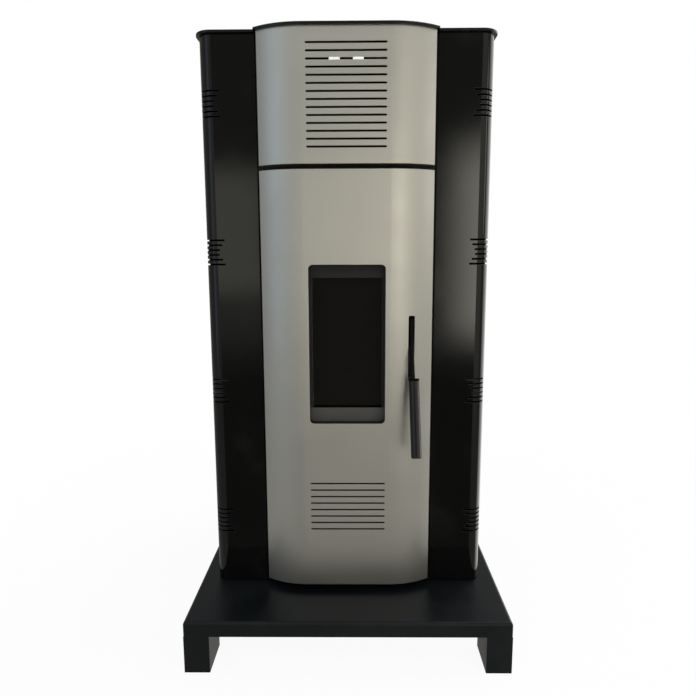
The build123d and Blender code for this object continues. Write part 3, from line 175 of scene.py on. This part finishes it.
def rgb(r, g, b):
    """An opaque colour, linear."""
    return (r, g, b, 1.0)


def material(name):
    """A new material and its node tree."""
    made = bpy.data.materials.new(name)
    made.use_nodes = True
    return made, Tree(made)


# ------------------------------------------------------------------ materials


def brushed_front():
    """Satin steel brushed across, in a warm grey, with rounded sheet edges."""
    made, t = material("brushed_front")
    streaks = t.noise(1.0, (9, 9, 2400), detail=4.0, rough=0.65)
    broad = t.noise(5.0, (1, 1, 2.5), detail=2.0)
    colour = t.mix(streaks, rgb(0.565, 0.555, 0.505), rgb(0.635, 0.625, 0.575))
    colour = t.mix(t.smooth(broad, 0.35, 0.7, 0.0, 0.35), colour, rgb(0.60, 0.575, 0.535))
    normal = t.bump(streaks, 0.00002, 0.5, t.soft_edges(0.0009))
    tangent = t.add("ShaderNodeTangent", direction_type="RADIAL", axis="Z")
    t.surface(
        Base_Color=colour,
        Metallic=1.0,
        Roughness=t.smooth(broad, 0.3, 0.7, 0.38, 0.43),
        Anisotropic=0.35,
        Tangent=tangent.outputs[0],
        Normal=normal,
    )
    return made


def gloss_black(name, shade, rough, peel, specular=0.5):
    """Enamelled or lacquered black steel with a trace of orange peel and dust."""
    made, t = material(name)
    dust = t.noise(9.0, detail=5.0, rough=0.6)
    waves = t.noise(38.0, detail=1.0)
    normal = t.bump(waves, peel, 0.6, t.soft_edges(0.0012))
    t.surface(
        Base_Color=t.mix(t.smooth(dust, 0.55, 0.8), rgb(*shade), rgb(*(3 * c for c in shade))),
        Roughness=t.smooth(dust, 0.4, 0.8, rough, rough + 0.05),
        Specular_IOR_Level=specular,
        Normal=normal,
    )
    return made


def powder_coat(name, shade, rough, specular=0.5):
    """Powder-coated steel with a fine even texture and slightly paler patches."""
    made, t = material(name)
    fine = t.noise(900.0, detail=2.0)
    patchy = t.noise(7.0, detail=4.0, rough=0.6)
    pale = rgb(*(min(1.0, 1.5 * c + 0.004) for c in shade))
    t.surface(
        Base_Color=t.mix(t.smooth(patchy, 0.4, 0.75, 0.0, 0.6), rgb(*shade), pale),
        Roughness=t.smooth(patchy, 0.35, 0.7, rough, rough + 0.08),
        Specular_IOR_Level=specular,
        Normal=t.bump(fine, COAT_GRAIN, 0.5, t.soft_edges(0.001)),
    )
    return made


def cast_iron(name, shade, rough):
    """Rough black casting, dusty in patches."""
    made, t = material(name)
    sand = t.noise(420.0, detail=4.0, rough=0.7)
    dusty = t.noise(14.0, detail=5.0, rough=0.65)
    colour = t.mix(t.smooth(dusty, 0.5, 0.8), rgb(*shade), rgb(*(1.9 * c + 0.01 for c in shade)))
    t.surface(
        Base_Color=colour,
        Metallic=0.25,
        Roughness=t.smooth(dusty, 0.3, 0.7, rough, rough + 0.15),
        Normal=t.bump(sand, 0.00018, 0.6, t.soft_edges(0.0012)),
    )
    return made


def plated_steel(name, shade, rough):
    """Zinc-plated or bare sheet with a faint spangle."""
    made, t = material(name)
    cells = t.add("ShaderNodeTexVoronoi")
    t.put(cells.inputs["Vector"], t.place())
    cells.inputs["Scale"].default_value = 90.0
    # one number from each cell's random colour
    spangle = t.math("MULTIPLY", cells.outputs["Color"], 1.0)
    dark = rgb(*(0.82 * c for c in shade))
    t.surface(
        Base_Color=t.mix(spangle, dark, rgb(*shade)),
        Metallic=1.0,
        Roughness=t.smooth(spangle, 0.0, 1.0, rough, rough + 0.12),
        Normal=t.bump(t.noise(260.0), 0.00003, 0.4, t.soft_edges(0.0006)),
    )
    return made


def moulded(name, shade, rough, grain):
    """Moulded plastic or rubber with a fine grain."""
    made, t = material(name)
    fine = t.noise(1500.0, detail=1.0)
    broad = t.noise(20.0, detail=3.0)
    pale = rgb(*(1.25 * c + 0.003 for c in shade))
    t.surface(
        Base_Color=t.mix(broad, rgb(*shade), pale),
        Roughness=t.smooth(broad, 0.3, 0.7, rough, rough + 0.06),
        Specular_IOR_Level=0.35,
        Normal=t.bump(fine, grain, 0.5, t.soft_edges(0.0006)),
    )
    return made


def dark_glass():
    """Smoked ceramic glass with a little soot, thicker towards its edges."""
    made, t = material("dark_glass")
    lo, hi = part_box("door_glass")
    point = t.add("ShaderNodeSeparateXYZ")
    t.put(point.inputs[0], t.place())
    soot = t.noise(16.0, detail=6.0, rough=0.65)
    middle = (lo.z + hi.z) / 2
    from_middle = t.math("ABSOLUTE", t.math("SUBTRACT", point.outputs["Z"], middle))
    edge = t.smooth(from_middle, 0.04, 0.17)
    haze = t.smooth(t.math("ADD", soot, t.math("MULTIPLY", edge, 0.35)), 0.5, 1.0)
    t.surface(
        Base_Color=t.mix(haze, rgb(0.014, 0.012, 0.009), rgb(0.004, 0.0035, 0.003)),
        Roughness=t.smooth(haze, 0.0, 1.0, 0.03, 0.07),
        Specular_IOR_Level=0.4,
        IOR=1.5,
        Transmission_Weight=t.smooth(haze, 0.0, 1.0, 0.75, 0.2),
    )
    return made


def vermiculite():
    """Pressed vermiculite board, warm buff with glinting flakes, smoked in patches."""
    made, t = material("vermiculite")
    flakes = t.noise(260.0, detail=3.0, rough=0.7)
    smoke = t.noise(6.0, detail=4.0)
    colour = t.mix(flakes, rgb(0.30, 0.245, 0.16), rgb(0.50, 0.43, 0.31))
    colour = t.mix(t.smooth(smoke, 0.35, 0.7), colour, rgb(0.07, 0.06, 0.05))
    t.surface(Base_Color=colour, Roughness=0.9, Normal=t.bump(flakes, 0.0008, 0.7))
    return made


def woven_rope():
    """Knitted glass-fibre seal, pale grey, with painted shade darkening the gaps between its
    strands.
    """
    made, t = material("woven_rope")
    waves = t.add("ShaderNodeTexWave", wave_type="BANDS", bands_direction="DIAGONAL")
    t.put(waves.inputs["Vector"], t.place())
    waves.inputs["Scale"].default_value = 95.0
    waves.inputs["Distortion"].default_value = 1.2
    strand = waves.outputs["Fac"]
    # the dark end of the strand mix is painted shade in the gaps between strands
    t.surface(
        Base_Color=t.mix(strand, rgb(0.10, 0.095, 0.09), rgb(0.42, 0.41, 0.38)),
        Roughness=0.85,
        Sheen_Weight=0.3,
        Normal=t.bump(strand, 0.0007, 0.8),
    )
    return made


def display_screen():
    """Dark display with a faint grid of unlit segments."""
    made, t = material("display_screen")
    cells = t.add("ShaderNodeTexBrick")
    t.put(cells.inputs["Vector"], t.place())
    cells.inputs["Scale"].default_value = 120.0
    cells.inputs["Color1"].default_value = rgb(0.010, 0.014, 0.013)
    cells.inputs["Color2"].default_value = rgb(0.012, 0.017, 0.015)
    cells.inputs["Mortar"].default_value = rgb(0.006, 0.008, 0.008)
    t.surface(
        Base_Color=cells.outputs["Color"],
        Roughness=0.08,
        Coat_Weight=1.0,
        Coat_Roughness=0.02,
    )
    return made


SLOTS = {
    "brushed_front": brushed_front(),
    "panel_black": gloss_black("panel_black", (0.0016, 0.0018, 0.0016), 0.07, 0.00003, 0.42),
    "top_black": gloss_black("top_black", (0.003, 0.003, 0.003), 0.25, 0.00003, 0.3),
    "frame_black": powder_coat("frame_black", (0.004, 0.004, 0.004), 0.55),
    # lower_bar_grey is painted light: the lower window band is coloured paler grey to stand in
    # for light falling on a dark band
    "lower_bar_grey": powder_coat("lower_bar_grey", (0.047, 0.047, 0.044), 0.45),
    # the blue tint in stand_black's colour is a painted cool reflection of daylight, not the
    # coat's own colour
    "stand_black": powder_coat("stand_black", (0.0018, 0.0030, 0.0042), 0.34, specular=0.3),
    "rear_grey": powder_coat("rear_grey", (0.028, 0.029, 0.030), 0.5),
    "heat_black": powder_coat("heat_black", (0.012, 0.012, 0.012), 0.6),
    "motor_case": powder_coat("motor_case", (0.016, 0.016, 0.017), 0.45),
    "hopper_steel": plated_steel("hopper_steel", (0.42, 0.42, 0.41), 0.35),
    # bright_clip is a painted glint: near-white tabs stand in for plated clip ends catching
    # light
    "bright_clip": moulded("bright_clip", (0.80, 0.80, 0.81), 0.3, 0.00001),
    "zinc": plated_steel("zinc", (0.60, 0.60, 0.57), 0.3),
    "fan_aluminium": cast_iron("fan_aluminium", (0.36, 0.36, 0.365), 0.42),
    "fire_iron": cast_iron("fire_iron", (0.012, 0.012, 0.012), 0.55),
    "liner": vermiculite(),
    "door_glass": dark_glass(),
    "rope": woven_rope(),
    "handle_black": gloss_black("handle_black", (0.0014, 0.0014, 0.0016), 0.16, 0.00001, 0.1),
    "grip_black": gloss_black("grip_black", (0.0055, 0.0048, 0.0042), 0.15, 0.00001, 0.45),
    "control_plastic": moulded("control_plastic", (0.012, 0.012, 0.013), 0.45, 0.00003),
    "display": display_screen(),
    "display_mark": moulded("display_mark", (0.16, 0.17, 0.165), 0.4, 0.00001),
    "button_rubber": moulded("button_rubber", (0.075, 0.08, 0.085), 0.5, 0.00003),
    "rocker_plastic": moulded("rocker_plastic", (0.008, 0.008, 0.008), 0.2, 0.00001),
}


def dress_nodes():
    """Gives every CAD node the material of its slot."""
    slots = {row["node"]: row["material_slot"] for row in frame["record"]["subparts"]}
    for name, node in NODES.items():
        node.data.materials.clear()
        node.data.materials.append(SLOTS[slots[name]])


# ------------------------------------------------------------------ added pieces


def piece_from(name, verts, faces, made, body, smooth=False):
    """A mesh piece with a material, riding on a body."""
    mesh = bpy.data.meshes.new(name)
    mesh.from_pydata(verts, [], faces)
    mesh.validate()
    shape = bmesh.new()
    shape.from_mesh(mesh)
    bmesh.ops.recalc_face_normals(shape, faces=shape.faces)
    shape.to_mesh(mesh)
    shape.free()
    mesh.materials.append(made)
    if smooth:
        mesh.shade_smooth()
    piece = bpy.data.objects.new(name, mesh)
    bpy.context.scene.collection.objects.link(piece)
    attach(piece, body)
    return piece


def prism(outline, base, height, verts, faces):
    """Adds a closed prism to a mesh: an outline moved along height from base."""
    first = len(verts)
    count = len(outline)
    verts += [tuple(base + point) for point in outline]
    verts += [tuple(base + point + height) for point in outline]
    faces.append(tuple(first + i for i in range(count)))
    faces.append(tuple(first + count + i for i in reversed(range(count))))
    for i in range(count):
        j = (i + 1) % count
        faces.append((first + i, first + j, first + count + j, first + count + i))


def on_circle(radius, angle, right, up):
    """A point on a circle round the origin, from two directions across it."""
    return radius * (cos(angle) * right + sin(angle) * up)


def polygon(radius, sides, up):
    """The corners of a regular polygon, across X and the direction up."""
    return [on_circle(radius, 2 * pi * k / sides, X_AXIS, up) for k in range(sides)]


def rectangle(half_x, half_y):
    """The corners of a rectangle round the origin, in XY."""
    x = half_x * X_AXIS
    y = half_y * Y_AXIS
    return [-x - y, x - y, x + y, -x + y]


CORNER_STEPS = 8


def rounded_loop(lo, hi, radius, step):
    """Points at equal steps round a rectangle with round corners, as (x, z)."""
    corners = [(hi.x, hi.z, 0), (lo.x, hi.z, 90), (lo.x, lo.z, 180), (hi.x, lo.z, 270)]
    rough = []
    for x, z, start in corners:
        cx = x - radius if x == hi.x else x + radius
        cz = z - radius if z == hi.z else z + radius
        for k in range(CORNER_STEPS + 1):
            angle = radians(start + 90 * k / CORNER_STEPS)
            rough.append(Vector((cx + radius * cos(angle), cz + radius * sin(angle))))
    rough.append(rough[0])
    lengths = [(b - a).length for a, b in zip(rough, rough[1:])]
    count = round(sum(lengths) / step)
    points = []
    leg = 0
    walked = 0.0
    for i in range(count):
        target = sum(lengths) * i / count
        while walked + lengths[leg] < target:
            walked += lengths[leg]
            leg += 1
        points.append(rough[leg].lerp(rough[leg + 1], (target - walked) / lengths[leg]))
    return points


ROPE_STRANDS = 3
ROPE_STEPS_PER_TURN = 8
ROPE_SIDES = 6
ROPE_PITCH = 0.014
ROPE_CORNER_R = 0.006
ROPE_STRAND_SHARE = 0.52


def rope_seal():
    """The door's seal as a three-strand glass rope laid round its groove."""
    lo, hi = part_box("door_rope_gasket")
    rope_r = (hi.y - lo.y) / 2
    strand_r = ROPE_STRAND_SHARE * rope_r
    lay_r = rope_r - strand_r
    inset = Vector((rope_r, 0, rope_r))
    step = ROPE_PITCH / ROPE_STEPS_PER_TURN
    loop = rounded_loop(lo + inset, hi - inset, ROPE_CORNER_R, step)
    turns = round(len(loop) / ROPE_STEPS_PER_TURN)
    count = len(loop)
    verts = []
    faces = []
    for strand in range(ROPE_STRANDS):
        first = len(verts)
        for i, point in enumerate(loop):
            ahead = loop[(i + 1) % count] - loop[i - 1]
            out = Vector((ahead.y, 0, -ahead.x)).normalized()
            turn = 2 * pi * (turns * i / count + strand / ROPE_STRANDS)
            middle = Vector((point.x, lo.y + rope_r, point.y))
            middle += on_circle(lay_r, turn, out, Y_AXIS)
            for k in range(ROPE_SIDES):
                angle = 2 * pi * k / ROPE_SIDES
                verts.append(tuple(middle + on_circle(strand_r, angle, out, Y_AXIS)))
        for i in range(count):
            a = first + i * ROPE_SIDES
            b = first + ((i + 1) % count) * ROPE_SIDES
            for k in range(ROPE_SIDES):
                n = (k + 1) % ROPE_SIDES
                faces.append((a + k, a + n, b + n, b + k))
    rope = piece_from("rope_seal", verts, faces, SLOTS["rope"], "door", smooth=True)
    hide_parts("door_rope_gasket")


BOLT_X = 0.088
BOLT_INSET = 0.022
WASHER_R = 0.0062
WASHER_T = 0.0008
WASHER_SIDES = 24
BOLT_HEAD_R = 0.0048
BOLT_HEAD_T = 0.0026


def casting_bolts():
    """Hexagon bolt heads on washers that hold the crowned sheet to the fire door."""
    lo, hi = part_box("fire_door")
    washer = polygon(WASHER_R, WASHER_SIDES, Z_AXIS)
    head = polygon(BOLT_HEAD_R, 6, Z_AXIS)
    washer_t = WASHER_T * Y_AXIS
    verts = []
    faces = []
    for x in (-BOLT_X, BOLT_X):
        for z in (lo.z + BOLT_INSET, (lo.z + hi.z) / 2, hi.z - BOLT_INSET):
            base = Vector((x, hi.y, z))
            prism(washer, base, washer_t, verts, faces)
            prism(head, base + washer_t, BOLT_HEAD_T * Y_AXIS, verts, faces)
    piece_from("casting_bolts", verts, faces, SLOTS["zinc"], "door")


def ring_outline(outer, inner, start, end, steps):
    """An open ring between two angles, in degrees, as one outline in XY."""
    turns = [radians(start + (end - start) * k / steps) for k in range(steps + 1)]
    far = [outer * Vector((cos(a), sin(a), 0)) for a in turns]
    near = [inner * Vector((cos(a), sin(a), 0)) for a in reversed(turns)]
    return far + near


MARK_RISE = 0.00018
RING_RADII = (0.0030, 0.0023)
RING_ENDS = (125, 415)
RING_STEPS = 24
BAR_HALF_W = 0.0004
BAR_HALF_H = 0.0016
ARROW_HALF_W = 0.0028
ARROW_BASE = 0.0018
ARROW_TIP = 0.0026
DOT_R = 0.0016
DOT_SIDES = 20


def button_marks():
    """Raised generic symbols: a power ring and bar, two arrows and a dot."""
    mark = SLOTS["display_mark"]
    bar = [point + BAR_HALF_H * Y_AXIS for point in rectangle(BAR_HALF_W, BAR_HALF_H)]
    foot = ARROW_BASE * Y_AXIS
    wing = ARROW_HALF_W * X_AXIS
    arrow = [-wing - foot, wing - foot, ARROW_TIP * Y_AXIS]
    shapes = {
        "power": [ring_outline(*RING_RADII, *RING_ENDS, RING_STEPS), bar],
        "up": [arrow],
        "down": [[-point for point in arrow]],
        "set": [polygon(DOT_R, DOT_SIDES, Y_AXIS)],
    }
    for name, outlines in shapes.items():
        lo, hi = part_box("button_" + name)
        centre = Vector(((lo.x + hi.x) / 2, (lo.y + hi.y) / 2, hi.z))
        verts = []
        faces = []
        for outline in outlines:
            prism(outline, centre, MARK_RISE * Z_AXIS, verts, faces)
        piece_from("mark_" + name, verts, faces, mark, "button_" + name)


DIGITS = 4
DIGIT_W = 0.0070
DIGIT_RISE = 0.0065
STROKE_W = 0.0011
STROKE_T = 0.0001


def display_segments():
    """Unlit seven-segment digits on the display."""
    lo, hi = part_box("display_window")
    level_bar = rectangle(DIGIT_W / 2 - STROKE_W, STROKE_W / 2)
    upright_bar = rectangle(STROKE_W / 2, DIGIT_RISE / 2 - STROKE_W)
    height = STROKE_T * Z_AXIS
    verts = []
    faces = []
    for digit in range(DIGITS):
        x = lo.x + (hi.x - lo.x) * (digit + 0.5) / DIGITS
        centre = Vector((x, (lo.y + hi.y) / 2, hi.z))
        for level in (-1, 0, 1):
            prism(level_bar, centre + level * DIGIT_RISE * Y_AXIS, height, verts, faces)
        for side in (-1, 1):
            edge = centre + side * DIGIT_W / 2 * X_AXIS
            for level in (-0.5, 0.5):
                prism(upright_bar, edge + level * DIGIT_RISE * Y_AXIS, height, verts, faces)
    piece_from("display_segments", verts, faces, SLOTS["display_mark"], "stove")


# ------------------------------------------------------------------ studio


def soft_band(t, value, middle, width, soft):
    """One inside a band of a value, falling softly to zero at both its edges."""
    low = middle - width / 2
    high = middle + width / 2
    rise = t.smooth(value, low - soft, low + soft)
    fall = t.smooth(value, high - soft, high + soft, 1.0, 0.0)
    return t.math("MULTIPLY", rise, fall)


# degrees of elevation between which one part of the room turns into the next
LOWER_ROOM_FADE = (-36.0, -20.0)
CEILING_FADE = (50.0, 75.0)
LOWER_ROOM = (0.40, 0.39, 0.37)
UPPER_ROOM = (0.28, 0.28, 0.27)
CEILING = (0.55, 0.57, 0.60)

# centre (azimuth, elevation), size, softness, all in degrees, then a colour with its strength;
# a later patch covers an earlier one
ROOM_PATCHES = [
    # upper part of the room in front, mirrored by the lid and the fascia
    ((0.0, 34.0), (120.0, 28.0), 6.0, (0.75, 0.74, 0.70)),
    # walls in front, mirrored by the crowned door
    ((0.0, 4.0), (120.0, 16.0), 12.0, (0.54, 0.53, 0.475)),
    # brighter wall on the right
    ((34.0, 4.0), (44.0, 30.0), 13.0, (0.76, 0.74, 0.66)),
    # blue daylight on the left
    ((-47.0, 16.0), (20.0, 50.0), 4.0, (0.62, 0.76, 0.94)),
    # large window far to the right
    ((118.0, 20.0), (60.0, 100.0), 5.0, (2.2, 2.2, 2.1)),
    # dark parts of the room, above and below the bright ones
    ((0.0, 14.0), (34.0, 14.0), 3.0, (0.16, 0.16, 0.15)),
    ((0.0, -24.0), (33.0, 30.0), 3.0, (0.08, 0.08, 0.075)),
    ((0.0, 2.0), (14.0, 40.0), 2.0, (0.10, 0.10, 0.095)),
    # strip of pale floor in front
    ((0.0, -27.0), (12.0, 22.0), 2.0, (0.50, 0.49, 0.45)),
    # lamp behind the stripe of light along the grip
    ((68.0, 9.0), (9.0, 14.0), 2.0, (2.6, 2.5, 2.3)),
    # pale wall in the left glass panel, lamp in the right one
    ((-13.0, 2.0), (10.0, 11.0), 1.2, (1.15, 1.13, 1.0)),
    ((14.0, 1.0), (8.5, 17.0), 2.5, (4.4, 4.2, 3.7)),
]


def world():
    """White to the camera; a dim room with bright walls, window and ceiling to the surfaces."""
    made = bpy.data.worlds.new("studio")
    made.use_nodes = True
    bpy.context.scene.world = made
    t = Tree(made)
    xyz = t.add("ShaderNodeSeparateXYZ")
    t.put(xyz.inputs[0], t.add("ShaderNodeTexCoord").outputs["Generated"])
    x, y, z = xyz.outputs
    # azimuth runs from -Y and grows to the right
    to_front = t.math("MULTIPLY", y, -1.0)
    azimuth = t.math("MULTIPLY", t.math("ARCTAN2", x, to_front), degrees(1.0))
    elevation = t.math("MULTIPLY", t.math("ARCSINE", z), degrees(1.0))
    room = t.mix(t.smooth(elevation, *LOWER_ROOM_FADE), rgb(*LOWER_ROOM), rgb(*UPPER_ROOM))
    room = t.mix(t.smooth(elevation, *CEILING_FADE), room, rgb(*CEILING))
    for (middle_az, middle_el), (width, height), soft, colour in ROOM_PATCHES:
        across = soft_band(t, azimuth, middle_az, width, soft)
        upright = soft_band(t, elevation, middle_el, height, soft)
        room = t.mix(t.math("MULTIPLY", across, upright), room, rgb(*colour))
    inside = t.add("ShaderNodeBackground")
    t.put(inside.inputs["Color"], room)
    white = t.add("ShaderNodeBackground")
    white.inputs["Color"].default_value = grey(1.0)
    pick = t.add("ShaderNodeMixShader")
    t.put(pick.inputs[0], t.add("ShaderNodeLightPath").outputs["Is Camera Ray"])
    t.put(pick.inputs[1], inside.outputs[0])
    t.put(pick.inputs[2], white.outputs[0])
    output = t.add("ShaderNodeOutputWorld")
    t.put(output.inputs["Surface"], pick.outputs[0])


FLOOR_HALF = 30.0
FLOOR_TONES = (0.80, 0.84)
FLOOR_GLOW_REACH = (0.5, 2.0)
FLOOR_GLOW = (0.94, 1.0)


def floor():
    """A wide pale floor, paler further out, that mirrors can't see."""
    mesh = bpy.data.meshes.new("floor")
    half = FLOOR_HALF
    corners = [(-half, -half, 0), (half, -half, 0), (half, half, 0), (-half, half, 0)]
    mesh.from_pydata(corners, [], [(0, 1, 2, 3)])
    made, t = material("pale_floor")
    distance = t.add("ShaderNodeVectorMath", operation="LENGTH")
    t.put(distance.inputs[0], t.place())
    lit = t.add("ShaderNodeBsdfDiffuse")
    t.put(lit.inputs["Color"], t.mix(t.noise(3.0), *(grey(tone) for tone in FLOOR_TONES)))
    pale = t.add("ShaderNodeEmission")
    pale.inputs["Color"].default_value = grey(1.0)
    share = t.smooth(distance.outputs["Value"], *FLOOR_GLOW_REACH, *FLOOR_GLOW)
    seen = t.add("ShaderNodeLightPath").outputs["Is Camera Ray"]
    blend = t.add("ShaderNodeMixShader")
    t.put(blend.inputs[0], t.math("MULTIPLY", share, seen))
    t.put(blend.inputs[1], lit.outputs[0])
    t.put(blend.inputs[2], pale.outputs[0])
    output = t.add("ShaderNodeOutputMaterial")
    t.put(output.inputs["Surface"], blend.outputs[0])
    mesh.materials.append(made)
    plane = bpy.data.objects.new("floor", mesh)
    plane.visible_glossy = False
    bpy.context.scene.collection.objects.link(plane)


LIGHT_AIM = Vector((0.0, 0.0, 0.6))
# place, size in metres, watts and colour of each soft light, none of them seen in mirrors
LIGHTS = {
    "key": ((1.7, -1.9, 2.1), 1.2, 26.0, (1.0, 0.97, 0.92)),
    "fill": ((-2.2, -1.8, 1.8), 1.6, 14.0, (0.88, 0.94, 1.0)),
    "above": ((0.0, 0.6, 3.2), 2.6, 40.0, (1.0, 1.0, 1.0)),
}


def lights():
    """Key from the front right, a cooler fill from the left and a light from above."""
    for name, (place, size, watts, colour) in LIGHTS.items():
        data = bpy.data.lights.new(name, "AREA")
        data.size = size
        data.energy = watts
        data.color = colour
        lamp = bpy.data.objects.new(name, data)
        lamp.location = place
        lamp.rotation_euler = (LIGHT_AIM - Vector(place)).to_track_quat("-Z", "Y").to_euler()
        lamp.visible_glossy = False
        bpy.context.scene.collection.objects.link(lamp)


def camera():
    """The camera, from its place, its turn and its roll."""
    data = bpy.data.cameras.new("camera")
    data.sensor_width = SENSOR
    data.lens = LENS
    data.clip_start = CLIP_START
    yaw = radians(CAMERA_YAW)
    pitch = radians(CAMERA_PITCH)
    roll = radians(CAMERA_ROLL)
    forward = Vector((sin(yaw) * cos(pitch), cos(yaw) * cos(pitch), sin(pitch)))
    right = Vector((cos(yaw), -sin(yaw), 0))
    up = right.cross(forward)
    turned = right * cos(roll) + up * sin(roll)
    top = up * cos(roll) - right * sin(roll)
    eye = bpy.data.objects.new("camera", data)
    turn = Matrix((turned, top, -forward)).transposed().to_4x4()
    eye.matrix_world = Matrix.Translation(CAMERA_AT) @ turn
    bpy.context.scene.collection.objects.link(eye)
    bpy.context.scene.camera = eye


def look():
    """Plain display colours, so that white stays white."""
    settings = bpy.context.scene.view_settings
    settings.view_transform = "Standard"
    settings.look = "None"
    settings.exposure = 0.0


camera()
dress_nodes()
rope_seal()
casting_bolts()
button_marks()
display_segments()
world()
floor()
lights()
look()
